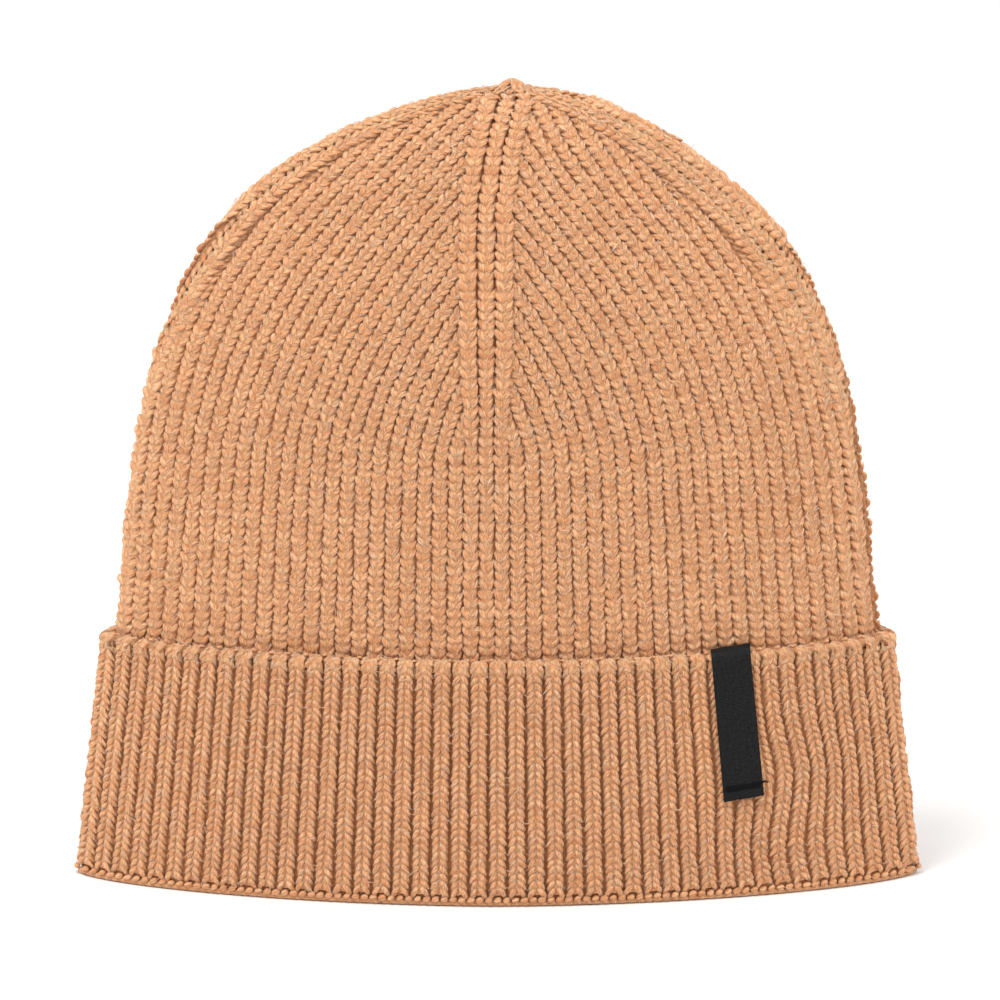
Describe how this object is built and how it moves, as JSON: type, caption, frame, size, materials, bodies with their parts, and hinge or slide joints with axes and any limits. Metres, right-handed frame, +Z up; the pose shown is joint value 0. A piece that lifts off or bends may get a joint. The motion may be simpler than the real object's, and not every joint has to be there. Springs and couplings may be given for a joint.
{
  "type": "cuffed rib-knit hat",
  "caption": "Soft rib-knit wool hat with a shaped crown drawn in by raised darts, a turned-up cuff and a plain ribbon label folded over the cuff's edge.",
  "frame": {"origin": "middle of the cuff's fold, on the surface that the hat stands on", "axes": "+Z up to the crown's knot, front of the hat towards -Y, label on the +X side of the front"},
  "size_m": [0.2134, 0.0768, 0.203],
  "materials": {
    "rib_knit": "soft camel wool, rib knitted, slightly fuzzy",
    "linking_yarn": "camel wool yarn, two-ply",
    "label_ribbon": "black woven satin ribbon, unprinted",
    "sewing_thread": "black spun sewing thread"
  },
  "bodies": {
    "root": {"crown": "rib_knit", "cuff": "rib_knit", "hem_chain": "linking_yarn", "crown_knot": "linking_yarn", "crown_back_seam": "linking_yarn", "cuff_back_seam": "linking_yarn", "label": "label_ribbon", "label_stitching": "sewing_thread"}
  },
  "joints": []
}
